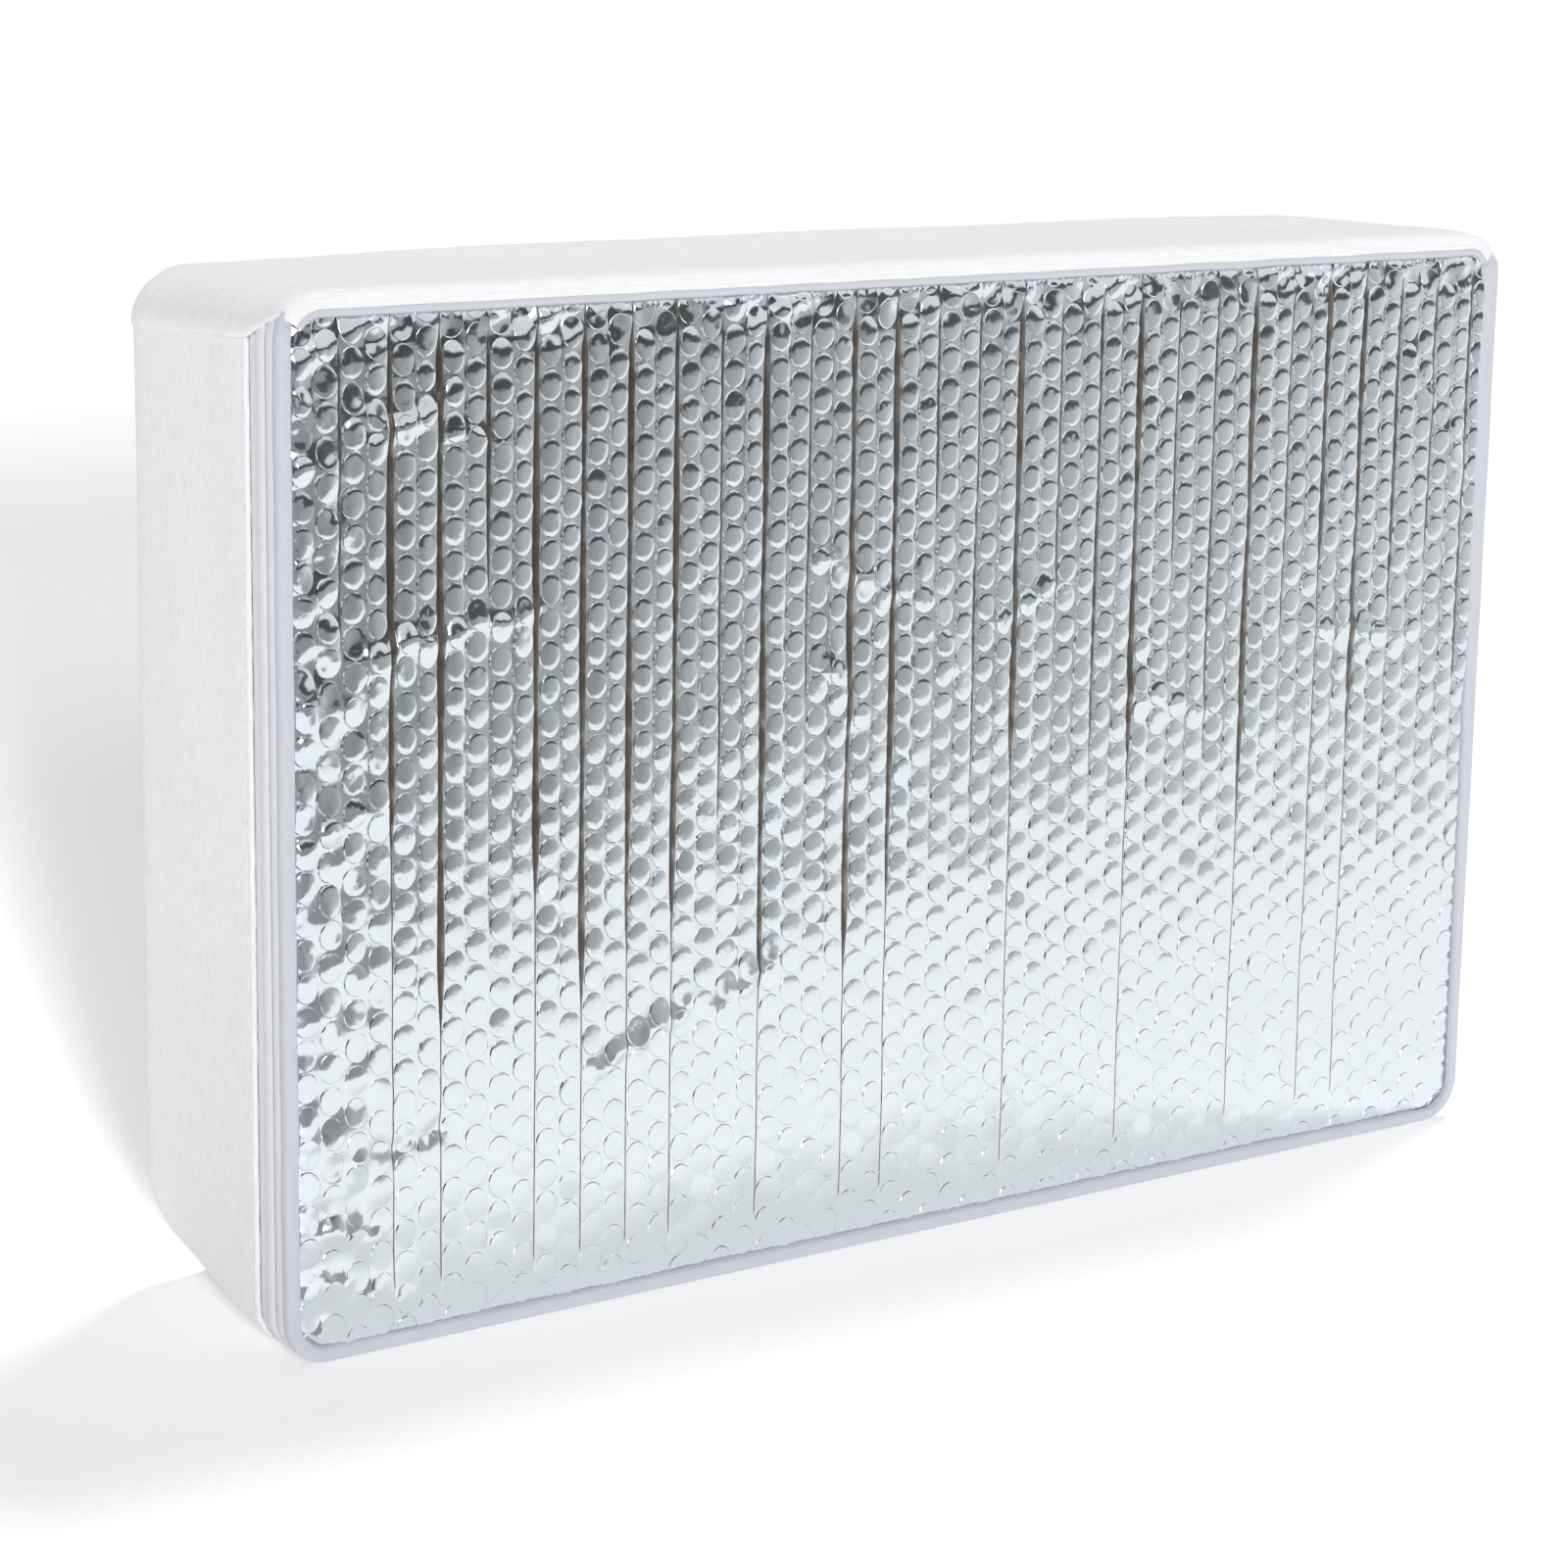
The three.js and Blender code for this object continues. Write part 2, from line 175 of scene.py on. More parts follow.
def grid_normals(grid, closed=False):
    """Unit normals of a grid of points, rows along the perimeter and columns front to back. They
    are 0 where points run together."""
    if closed:
        along = np.roll(grid, -1, 0) - np.roll(grid, 1, 0)
    else:
        along = np.gradient(grid, axis=0)
    across = np.gradient(grid, axis=1)
    normal = np.cross(across, along)
    return normal / np.maximum(np.linalg.norm(normal, axis=-1, keepdims=True), 1e-9)


def cloth(name, grid, uv, thickness, closed=False):
    """A piece of cloth with its thickness: a grid of outer points and the same grid further in."""
    rows, columns = grid.shape[:2]
    normals = grid_normals(grid, closed)
    gathered = np.linalg.norm(normals[:, -1], axis=-1) < 0.5
    normals[gathered, -1] = normals[gathered, -2]
    inner = grid - normals * thickness
    index = np.arange(rows * columns).reshape(rows, columns)
    below = index + rows * columns
    faces = []
    last = rows if closed else rows - 1
    for i in range(last):
        j = (i + 1) % rows
        a, b, c, d = index[i, :-1], index[i, 1:], index[j, 1:], index[j, :-1]
        faces.append(np.stack([a, b, c, d], 1))
        faces.append(np.stack([a, d, c, b], 1) + rows * columns)
        for k, flip in ((0, False), (columns - 1, True)):
            rim = [index[i, k], index[j, k], below[j, k], below[i, k]]
            faces.append(np.array([rim[::-1] if flip else rim]))
    if not closed:
        for i, flip in ((0, True), (rows - 1, False)):
            a, b, c, d = index[i, :-1], index[i, 1:], below[i, 1:], below[i, :-1]
            rim = np.stack([a, b, c, d], 1)
            faces.append(rim[:, ::-1] if flip else rim)
    points = np.concatenate([grid.reshape(-1, 3), inner.reshape(-1, 3)])
    both = np.concatenate([uv.reshape(-1, 2)] * 2)
    return new_object(name, points, np.concatenate(faces), both)


def weld(obj):
    """Joins points that lie together, as in the middle of a closed face."""
    b = bmesh.new()
    b.from_mesh(obj.data)
    bmesh.ops.remove_doubles(b, verts=b.verts, dist=0.05 * MM)
    bmesh.ops.recalc_face_normals(b, faces=b.faces)
    b.to_mesh(obj.data)
    b.free()


def ripple(p, y, height, length, seed):
    """Uneven waves of about one height and length, a sum of sines with their own directions."""
    local = np.random.default_rng(seed)
    total = np.zeros(np.broadcast(p, y).shape)
    for _ in range(6):
        angle = local.uniform(0, math.pi)
        k = 2 * math.pi / (length * local.uniform(0.7, 1.5))
        total = total + np.sin(k * (p * math.cos(angle) + y * math.sin(angle)) + local.uniform(0, 6.3))
    return total * height / 2.5


def profile_grid(p, line, lift):
    """A strip along the perimeter with a cross-section of (y, out) points."""
    pp, yy = np.meshgrid(p, line[:, 0], indexing="ij")
    out = np.broadcast_to(line[:, 1], pp.shape)
    grid = outline(pp, yy, out + lift(pp, yy))
    run = np.concatenate([[0], np.cumsum(np.linalg.norm(np.diff(line, axis=0), axis=1))])
    return grid, np.stack([pp, np.broadcast_to(run + line[0, 0], pp.shape)], -1)


def ride_pad(obj, material):
    """The piece wears the material and rides on the pad."""
    obj.data.materials.append(material)
    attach(obj, "pad")
    return obj


# ---- Materials -----------------------------------------------------------------------------


class Nodes:
    """A material's node tree with its Principled shader, and short ways to add to it."""

    def __init__(self, name, colour, roughness, metallic=0.0, **sockets):
        self.material = bpy.data.materials.new(name)
        self.material.use_nodes = True
        self.tree = self.material.node_tree
        self.shader = self.tree.nodes["Principled BSDF"]
        self.shader.inputs["Base Color"].default_value = (*colour, 1)
        self.shader.inputs["Roughness"].default_value = roughness
        self.shader.inputs["Metallic"].default_value = metallic
        for socket, value in sockets.items():
            self.shader.inputs[socket.replace("_", " ")].default_value = value

    def add(self, kind, **values):
        node = self.tree.nodes.new(kind)
        for key, value in values.items():
            if key in node.inputs:
                node.inputs[key].default_value = value
            else:
                setattr(node, key, value)
        return node

    def link(self, source, output, target, socket):
        self.tree.links.new(source.outputs[output], target.inputs[socket])

    def mapped(self, scale, coordinate="UV"):
        source = self.add("ShaderNodeTexCoord")
        mapping = self.add("ShaderNodeMapping")
        mapping.inputs["Scale"].default_value = scale
        self.link(source, coordinate, mapping, "Vector")
        return mapping

    def noise(self, scale, coordinate="UV", detail=2.0, roughness=0.5):
        mapping = self.mapped(scale, coordinate)
        texture = self.add("ShaderNodeTexNoise", Scale=1.0, Detail=detail, Roughness=roughness)
        self.link(mapping, "Vector", texture, "Vector")
        return texture

    def wave(self, scale, direction, distortion=0.0, coordinate="UV"):
        mapping = self.mapped(scale, coordinate)
        texture = self.add("ShaderNodeTexWave", bands_direction=direction, Scale=1.0)
        texture.inputs["Distortion"].default_value = distortion
        self.link(mapping, "Vector", texture, "Vector")
        return texture

    def math(self, operation, first, second):
        node = self.add("ShaderNodeMath", operation=operation)
        for i, value in enumerate((first, second)):
            if isinstance(value, (int, float)):
                node.inputs[i].default_value = value
            else:
                self.tree.links.new(value.outputs[0], node.inputs[i])
        return node

    def bump(self, height, strength, distance_mm, below=None):
        node = self.add("ShaderNodeBump", Strength=strength, Distance=distance_mm * MM)
        self.link(height, 0, node, "Height")
        if below is not None:
            self.link(below, "Normal", node, "Normal")
        self.link(node, "Normal", self.shader, "Normal")
        return node

    def colour_between(self, source, dark, light, low=0.3, high=0.7):
        ramp = self.add("ShaderNodeValToRGB")
        ramp.color_ramp.elements[0].position = low
        ramp.color_ramp.elements[0].color = (*dark, 1)
        ramp.color_ramp.elements[1].position = high
        ramp.color_ramp.elements[1].color = (*light, 1)
        self.link(source, 0, ramp, "Fac")
        self.link(ramp, "Color", self.shader, "Base Color")
        return ramp

    def roughness_between(self, source, low, high):
        spread = self.add("ShaderNodeMapRange")
        spread.inputs["To Min"].default_value = low
        spread.inputs["To Max"].default_value = high
        self.link(source, 0, spread, "Value")
        self.link(spread, 0, self.shader, "Roughness")


def foil_material(name, colour, roughness):
    """Metallised film with fine creases and patches of haze."""
    n = Nodes(name, colour, roughness, metallic=1.0)
    crinkle = n.noise((160, 160, 160), "Object", detail=3)
    n.bump(crinkle, 0.35, 0.35)
    haze = n.noise((30, 30, 30), "Object", detail=4)
    n.roughness_between(haze, 0.75 * roughness, 1.6 * roughness)
    return n.material


def woven_material(name, light, dark, slub, thread, depth_mm):
    """Cloth with slubs along its length, threads across and a fine fuzz."""
    n = Nodes(name, light, 0.92, Sheen_Weight=0.25, Sheen_Roughness=0.6)
    slubs = n.noise((1000 / slub[0], 1000 / slub[1], 1), detail=3, roughness=0.6)
    per_metre = 1000 / thread / 2 / math.pi * 3
    warp, weft = (n.wave((per_metre, per_metre, 1), direction, 1.5) for direction in "YX")
    threads = n.math("MULTIPLY", warp, weft)
    heights = n.math("ADD", n.math("MULTIPLY", slubs, 1.6), n.math("MULTIPLY", threads, 0.5))
    n.bump(heights, 0.6, depth_mm)
    n.colour_between(slubs, dark, light, 0.35, 0.62)
    return n.material


def plain_material(name, colour, roughness, bump_mm, grain, **sockets):
    """A fine uneven grain, a little darker in its hollows, which is painted shade."""
    n = Nodes(name, colour, roughness, **sockets)
    texture = n.noise((1000 / grain,) * 3, "Object", detail=3)
    n.bump(texture, 0.5, bump_mm)
    # The hollows of the bump are painted a little darker, as shade.
    darker = tuple(c * 0.94 for c in colour)
    n.colour_between(texture, darker, colour, 0.3, 0.6)
    return n.material


def enamel_material():
    """Enamel on metal with slight wear."""
    n = Nodes("slider_enamel", (0.82, 0.83, 0.85), 0.32, Coat_Weight=0.35, Coat_Roughness=0.15)
    wear = n.noise((900, 900, 900), "Object", detail=4)
    n.bump(wear, 0.25, 0.05)
    n.roughness_between(wear, 0.25, 0.42)
    return n.material


WHITE = (0.90, 0.90, 0.915)
cover_cloth = woven_material("cover_cloth", WHITE, (0.84, 0.84, 0.855), (9, 1.1), 0.9, 0.28)
# The border cloth has a bluish tint of its own, and is darker than the cover as painted shade for its
# faces that look forward and get less light.
border_tint_and_shade = woven_material(
    "border_tint_and_shade", (0.55, 0.56, 0.615), (0.56, 0.575, 0.64), (14, 2.5), 0.45, 0.06
)
tape_cloth = woven_material(
    "tape_cloth", (0.76, 0.765, 0.80), (0.71, 0.715, 0.75), (1.2, 0.7), 0.6, 0.12
)
foil = foil_material("foil", (0.71, 0.755, 0.785), 0.12)
# The foil for the crease faces is dark and brownish: painted shade in the deep creases.
painted_crease_shade_foil = foil_material("painted_crease_shade_foil", (0.36, 0.335, 0.315), 0.3)
foam = plain_material("foam", (0.78, 0.76, 0.68), 0.95, 0.5, 1.6)
thread = plain_material("thread", (0.86, 0.865, 0.88), 0.7, 0.05, 0.25)
coil_plastic = plain_material("coil_plastic", (0.80, 0.805, 0.82), 0.4, 0.03, 0.5)
enamel = enamel_material()


# ---- The foil face -------------------------------------------------------------------------

# Bubbles stand in columns, every second one half a bubble higher. Distances are between centres.
BUBBLE_PITCH = 11.4
COLUMN_PITCH = 9.32
BUBBLE_HALF_WIDTH = 4.6
BUBBLE_HALF_HEIGHT = 5.5
BUBBLE_HEIGHT = 0.9

# How far the film between the bubbles lies behind the front of the pad, and where the first
# crease and the first column are. STEPS is the number of points along one bubble's side.
FILM = 1.55
FIRST_CREASE = -265.7
FIRST_COLUMN = FIRST_CREASE - COLUMN_PITCH
COLUMNS = 59
ROWS = 32
LOWEST_ROW = -6.0
STEPS = 4

# A crease opens to this depth and half width, between lips that start this far to either side of
# its line. The film rises in a pillow between creases, and at most this far past the pad's front.
CREASE_DEPTH = 2.3
CREASE_WIDTH = 1.5
OPEN_CREASE = 0.12
PILLOW = 0.8
MOST_PROUD = 1.6
LIP = 0.04
CELL_REACH = COLUMN_PITCH / 2 - 0.1

# The flat bubbles along the bottom do without the innermost ring.
FEWER_RINGS_BELOW = 45.0

# The rings of a bubble, from its rim in: their share of its radius and of its height.
BUBBLE_RINGS = [(1.0, 0.0), (0.93, 0.74), (0.55, 0.98)]

# The film is creased between every second pair of columns: how strong each crease is, from the
# left, and how far down from the top it runs as a share of the height.
CREASES = [
    (0.15, 0.6), (0.35, 0.3), (1.0, 0.47), (1.0, 0.65), (0.6, 0.24), (1.0, 0.54), (0.95, 0.65),
    (0.9, 0.6), (0.9, 0.6), (0.35, 0.5), (1.0, 0.66), (0.3, 0.4), (0.95, 0.66), (0.95, 0.6),
    (0.5, 0.2), (0.35, 0.5), (1.0, 0.48), (0.3, 0.35), (0.55, 0.48), (1.0, 0.5), (0.3, 0.3),
    (0.35, 0.5), (1.0, 0.56), (0.3, 0.4), (1.0, 0.3), (0.9, 0.5), (0.6, 0.37), (0.35, 0.3),
    (0.45, 0.45), (0.2, 0.4),
]

# Folds that cross the bubbles: start, end, height and half width.
FOLDS = [
    ((-266, 212), (-218, 246), 1.3, 4.5),
    ((-250, 238), (-165, 250), 1.0, 3.5),
    ((-266, 176), (-226, 192), 1.1, 4.0),
    ((-262, 300), (-205, 322), 0.9, 3.5),
    ((-240, 318), (-180, 306), 0.8, 3.0),
    ((-262, 80), (-238, 66), 1.2, 3.5),
    ((-240, 70), (-205, 74), -1.0, 3.5),
    ((-262, 48), (-232, 40), 1.0, 3.0),
    ((-258, 30), (-220, 14), 0.9, 3.5),
    ((-150, 84), (-105, 104), 1.1, 3.0),
    ((-100, 98), (-70, 116), 1.0, 3.0),
    ((-60, 262), (-20, 240), 1.0, 4.0),
    ((-52, 222), (-36, 196), 1.0, 4.0),
    ((-14, 250), (8, 208), 0.9, 4.0),
    ((20, 226), (60, 244), 0.8, 4.0),
    ((84, 196), (130, 184), 0.8, 4.0),
    ((178, 212), (232, 204), 0.9, 4.0),
    ((222, 316), (258, 262), 0.9, 5.0),
]


def crease_state(x, z):
    """How deep the nearest crease is here, and how far this is from it."""
    number = np.round((x - FIRST_CREASE) / (2 * COLUMN_PITCH)).astype(int)
    number = np.clip(number, 0, len(CREASES) - 1)
    strength = np.array([c[0] for c in CREASES])[number]
    reach = np.array([c[1] for c in CREASES])[number]
    down = (FOIL_TOP - z) / HEIGHT
    open_top = smooth(down, 0.012, 0.05)
    fade = 1 - smooth(down, reach - 0.05, reach + 0.06)
    wander = 0.8 + 0.2 * np.sin(z / 17.0 + number * 2.1)
    away = x - (FIRST_CREASE + number * 2 * COLUMN_PITCH)
    line = 0.145 * smooth(strength, 0.3, 0.9) * (1 - smooth(down, 0.9, 0.98))
    return np.maximum(strength * open_top * fade * wander, line), away


def film_height(x, z):
    """How far the film between the bubbles stands out from its plane."""
    slack = ripple(x, z, 0.28, 95, 3) + ripple(x, z, 0.09, 26, 5)
    total = slack
    for start, end, height, half in FOLDS:
        a, b = np.array(start, float), np.array(end, float)
        along = ((x - a[0]) * (b - a)[0] + (z - a[1]) * (b - a)[1]) / ((b - a) @ (b - a))
        t = np.clip(along, 0, 1)
        wiggle = 1.4 * np.sin(along * 19 + height * 5)
        normal = np.array([-(b - a)[1], (b - a)[0]]) / np.linalg.norm(b - a)
        dx, dz = x - (a[0] + t * (b - a)[0]), z - (a[1] + t * (b - a)[1])
        off = dx * normal[0] + dz * normal[1] + wiggle
        beyond = np.hypot(dx, dz)
        taper = smooth(along, -0.08, 0.12) * (1 - smooth(along, 0.85, 1.1))
        total = total + 1.35 * height * taper * np.exp(-np.abs(off / half) ** 1.3) * (beyond < 5 * half)
    crumple = 1 - smooth(FOIL_TOP - z, 3, 17)
    total = total + crumple * (ripple(x, z, 1.0, 13, 11) + 0.2)
    left = 1 - smooth(x + HALF_WIDTH, 8, 56)
    total = total + left * ripple(x, z, 0.75, 17, 12)
    return total


def foil_lattice():
    """The lines of points between the columns. Where a crease is open its line has two lips."""
    step = BUBBLE_PITCH / STEPS
    line_x = FIRST_COLUMN + COLUMN_PITCH * np.arange(COLUMNS + 1)
    line_z = LOWEST_ROW + step * np.arange(STEPS * ROWS + STEPS // 2 + 1)
    xs, zs = np.meshgrid(line_x, line_z, indexing="ij")
    flat = [np.stack([xs.ravel(), zs.ravel()], 1)]
    valley = np.arange(xs.size).reshape(xs.shape)
    lips = {-1: valley.copy(), 1: valley.copy()}
    depth, away = crease_state(xs, zs)
    is_open = (depth > OPEN_CREASE) & (np.abs(away) < LIP)
    count = xs.size
    for side in (-1, 1):
        lips[side][is_open] = np.arange(count, count + is_open.sum())
        flat.append(np.stack([xs[is_open] + side * LIP, zs[is_open]], 1))
        count += is_open.sum()
    faces = []
    for i, k in np.argwhere(is_open[:, :-1] | is_open[:, 1:]):
        low, high = valley[i, k], valley[i, k + 1]
        faces.append([lips[-1][i, k], low, high, lips[-1][i, k + 1]])
        faces.append([low, lips[1][i, k], lips[1][i, k + 1], high])
    return line_x, line_z, flat, lips, faces


def foil_sheet():
    """The whole film as one mesh: rings of points up each bubble, joined by the lattice."""
    line_x, line_z, flat, lips, strips = foil_lattice()
    around = 4 * STEPS
    count = sum(len(points) for points in flat)
    rungs = np.zeros((COLUMNS, ROWS + 1, STEPS - 1), int)
    for i in range(COLUMNS):
        for j in range(ROWS + 1):
            z = line_z[STEPS // 2 * (i % 2) + STEPS * j]
            x = line_x[i] + COLUMN_PITCH * np.arange(1, STEPS) / STEPS
            flat.append(np.stack([x, np.full(STEPS - 1, z)], 1))
            rungs[i, j] = np.arange(count, count + STEPS - 1)
            count += STEPS - 1
    between = count
    dome = [np.zeros(between)]
    turns = 2 * math.pi * (np.arange(around) / around - 0.375)
    circle = np.stack([np.cos(turns) * BUBBLE_HALF_WIDTH, np.sin(turns) * BUBBLE_HALF_HEIGHT], 1)
    faces, domes = [strips], [np.full(len(strips), False)]
    for i in range(COLUMNS):
        for j in range(ROWS):
            k = STEPS // 2 * (i % 2) + STEPS * j
            left, right = lips[1][i, k : k + STEPS + 1], lips[-1][i + 1, k : k + STEPS + 1]
            rim = [left[0], *rungs[i, j], *right, *rungs[i, j + 1][::-1], *left[STEPS:0:-1]]
            centre = np.array([line_x[i] + COLUMN_PITCH / 2, line_z[k] + BUBBLE_PITCH / 2])
            size = rng.uniform(0.96, 1.015)
            low_down = 1 - smooth(centre[1], 20, 220)
            height = BUBBLE_HEIGHT * rng.uniform(0.8, 1.12) * (1 - 0.72 * low_down)
            tilt = rng.normal(0, 0.024, 2)
            shift = rng.normal(0, 0.1, 2)
            slack = rng.random()
            dent = rng.normal(0, 0.035 + 0.08 * (slack > 0.75), around) * (1 - 0.5 * low_down)
            crown = rng.uniform(0.86, 1.08) - 0.2 * (slack > 0.88) * (1 - low_down)
            if not (-HALF_WIDTH < centre[0] < HALF_WIDTH and 0 < centre[1] < HEIGHT):
                continue
            following = np.roll(np.arange(around), -1)
            previous = np.array(rim)
            for radius, share in BUBBLE_RINGS[: 2 if centre[1] < FEWER_RINGS_BELOW else 3]:
                ring = circle * radius * size
                place = ring + centre + shift
                place[:, 0] = np.clip(place[:, 0] - centre[0], -CELL_REACH, CELL_REACH) + centre[0]
                flat.append(place)
                dome.append(height * (share + dent * (share > 0.8)) + ring @ tilt * (share > 0))
                current = np.arange(count, count + around)
                count += around
                faces.append(np.stack([previous, previous[following], current[following], current], 1))
                domes.append(np.full(around, share > 0))
                previous = current
            flat.append((centre + shift)[None])
            dome.append(np.array([height * crown]))
            top = np.full(around, count)
            faces.append(np.stack([previous, previous[following], top, top], 1))
            domes.append(np.full(around, True))
            count += 1
    flat, dome = np.concatenate(flat), np.concatenate(dome)
    x, z = flat[:, 0], flat[:, 1]
    depth, away = crease_state(x, z)
    in_valley = np.abs(away) < LIP / 2
    near = np.clip(1 - np.abs(away) / COLUMN_PITCH, 0, 1)
    jitter = rng.normal(0, 1, len(x))
    moved = x + CREASE_WIDTH * depth * np.where(in_valley, 0.12 * jitter, np.sign(away) * near)
    valley = CREASE_DEPTH * depth * in_valley * (1 + 0.1 * jitter)
    lip = 0.2 * depth * bump(np.abs(away), 0, 1.2) * ~in_valley
    flattened = 1 - 0.75 * (1 - smooth(FOIL_TOP - z, 6, 16))
    share = np.clip(np.abs(away) / COLUMN_PITCH, 0, 1)
    pillow = PILLOW * np.minimum(depth, 0.8) * np.sin(share * math.pi / 2)
    crinkle = rng.normal(0, 1, len(x)) * np.where(np.arange(len(x)) < between, 0.03, 0.008)
    height = film_height(moved, z) + dome * flattened + pillow + lip - valley + crinkle
    points = np.stack([moved, FRONT + FILM - height, z], 1)
    points[:, 1] = np.maximum(points[:, 1], FRONT - MOST_PROUD)
    tuck_under(points)
    quads, domes = np.concatenate(faces), np.concatenate(domes)
    spread = np.ptp(points[quads][:, :, [0, 2]], axis=1).min(axis=1)
    in_crease = np.arange(len(quads)) < len(strips)
    quads, domes, in_crease = (kind[spread > 0.02] for kind in (quads, domes, in_crease))
    used = np.unique(quads)
    renumber = np.zeros(len(points), int)
    renumber[used] = np.arange(len(used))
    faces = [list(dict.fromkeys(face)) for face in renumber[quads].tolist()]
    obj = new_object("foil_face", points[used], faces, points[used][:, [0, 2]])
    # The faces in the creases take the second material, the dark foil that paints the creases' shade.
    obj.data.polygons.foreach_set("material_index", in_crease.astype(np.int32))
    crisp_normals(obj.data, domes)
    return obj


def read(items, key, width=1, kind=np.float32):
    values = np.zeros(len(items) * width, kind)
    items.foreach_get(key, values)
    return values.reshape(-1, width) if width > 1 else values


def crisp_normals(mesh, domes):
    """Normals that stay level between the bubbles and on their tops, and turn sharply at rims
    and folds. domes says which faces belong to a bubble."""
    faces = mesh.polygons
    normal, area = read(faces, "normal", 3), read(faces, "area") / MM**2
    vertex = read(mesh.loops, "vertex_index", kind=np.int32)
    face = np.repeat(np.arange(len(faces)), read(faces, "loop_total", kind=np.int32))
    result = np.zeros((len(vertex), 3))
    weighted = normal * (area**2)[:, None]
    for group in (domes, ~domes):
        mine = group[face]
        total = np.zeros((len(mesh.vertices), 3))
        np.add.at(total, vertex[mine], weighted[face[mine]])
        result[mine] = total[vertex[mine]]
    result /= np.maximum(np.linalg.norm(result, axis=1, keepdims=True), 1e-12)
    own = normal[face]
    turn = 1 - (result * own).sum(axis=1)
    sharp = smooth(turn, 0.05, 0.2)[:, None]
    mesh.normals_split_custom_set((result * (1 - sharp) + own * sharp).tolist())


def tuck_under(points):
    """The film's edge is turned back under the border and the top roll."""
    inset, radius, top = 3.4, FRONT_RADIUS - 3.4, FOIL_TOP + 1.2
    low = np.array([-HALF_WIDTH + inset, inset])
    high = np.array([HALF_WIDTH - inset, top])
    flat = points[:, [0, 2]]
    core = np.clip(flat, low + radius, high - radius)
    away = flat - core
    distance = np.linalg.norm(away, axis=1)
    outside = distance > radius
    core_scale = np.where(outside, radius / np.maximum(distance, 1e-9), 1.0)
    points[:, [0, 2]] = core + away * core_scale[:, None]
    near = smooth(distance, radius - 2.6, radius - 0.2)
    points[:, 1] = points[:, 1] * (1 - near) + (FRONT + 3.4) * near


foil_face = ride_pad(foil_sheet(), foil)
# The second material is the crease foil with painted shade.
foil_face.data.materials.append(painted_crease_shade_foil)
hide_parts("foil_bubble_panel")


# ---- The cover -----------------------------------------------------------------------------

# How thick the cloth is, how far round the pad the top strip ends on each side and how much
# further down it ends at the zipper, and the seam round the back.
CLOTH = 1.1
LAP_FRONT = SIDE_END + 12.0
LAP_FALL = 13.0
BACK_SEAM = BACK - 3.0


def on_floor(p):
    """1 where the pad rests on its bottom edge, 0 past the corners."""
    return 1 - smooth(np.abs(p), HALF_BOTTOM - 30, HALF_BOTTOM)


def lap_end(y):
    """Where the top strip ends on the side. It falls away behind the border."""
    return LAP_FRONT - LAP_FALL * smooth(y, FRONT, HEM + 4)


def face_inset(p):
    """How wide the border is on the face. It widens towards the upper right corner."""
    right = np.where(p > 0, 1.0, 0.0)
    return 5.0 + right * (3.5 * smooth(p, SIDE_START + 60, SIDE_END) - 1.2 * bump(p, SIDE_START, 60))


def front_border():
    """The rolled edge round the foil. Its ends go in under the top roll."""
    p = perimeter(-LAP_FRONT - 4, LAP_FRONT + 4, 5.0)
    line = rounded([
        (FRONT + 2.6, -5.9), (FRONT + 1.2, -5.5), (FRONT + 0.15, -4.9), (FRONT, -3.6),
        (FRONT, -1.9), (FRONT + 0.35, -0.6), (FRONT + 1.3, 0), (FRONT + 2.6, 0),
        (FRONT + 3.3, -0.15), (FRONT + 3.6, -0.9), (FRONT + 3.6, -2.2),
    ])

    def lift(pp, yy):
        return ripple(pp, yy, 0.08, 40, 21) * (1 - on_floor(pp))

    pp = np.broadcast_to(p[:, None], (len(p), len(line)))
    widen = (face_inset(pp) - 5) * np.clip(-line[:, 1] / 5, 0, 1)
    grid, uv = profile_grid(p, line, lambda a, b: lift(a, b) - widen)
    grid[..., 1] += 1.5 * smooth(np.abs(p), LAP_FRONT - 4, LAP_FRONT - 0.5)[:, None]
    return cloth("border", grid, uv, 0.9)


def zip_gusset():
    reach = LAP_FRONT - LAP_FALL + 8
    p = perimeter(-reach, reach, 3.2)
    hem = [(HEM + 2.4, -2.1), (HEM + 0.5, -1.9), (HEM, -1.1), (HEM + 0.3, -0.15), (HEM + 1.4, 0.1)]
    hem += [(HEM + 2.5, -0.02), (HEM + 3.0, -0.2), (HEM + 3.6, 0.0)]
    back = [(BACK_SEAM - 7, 0), (BACK_SEAM - 3.2, -0.5), (BACK_SEAM - 1.1, -1.8), (BACK_SEAM, -3.6)]
    middle = [(y, 0) for y in np.arange(HEM + 5, BACK_SEAM - 8, 4.0)]
    line = np.concatenate([rounded(hem, 1), np.array(middle, float), rounded(back)])

    def lift(pp, yy):
        pucker = ripple(pp, yy * 0.3, 0.16, 11, 31) * (bump(yy, HEM + 3, 5) + 0.8 * bump(yy, BACK_SEAM, 9))
        broad = ripple(pp, yy * 2, 0.3, 110, 32) * smooth(yy, HEM, HEM + 18)
        free = 1 - on_floor(pp)
        bend = 1.2 * bump(np.abs(pp), SIDE_START - CORNER / 2, 14) * smooth(yy, 0, BACK)
        return (pucker + broad - bend) * free

    grid, uv = profile_grid(p, line, lift)
    return cloth("gusset_sides", grid, uv, CLOTH)


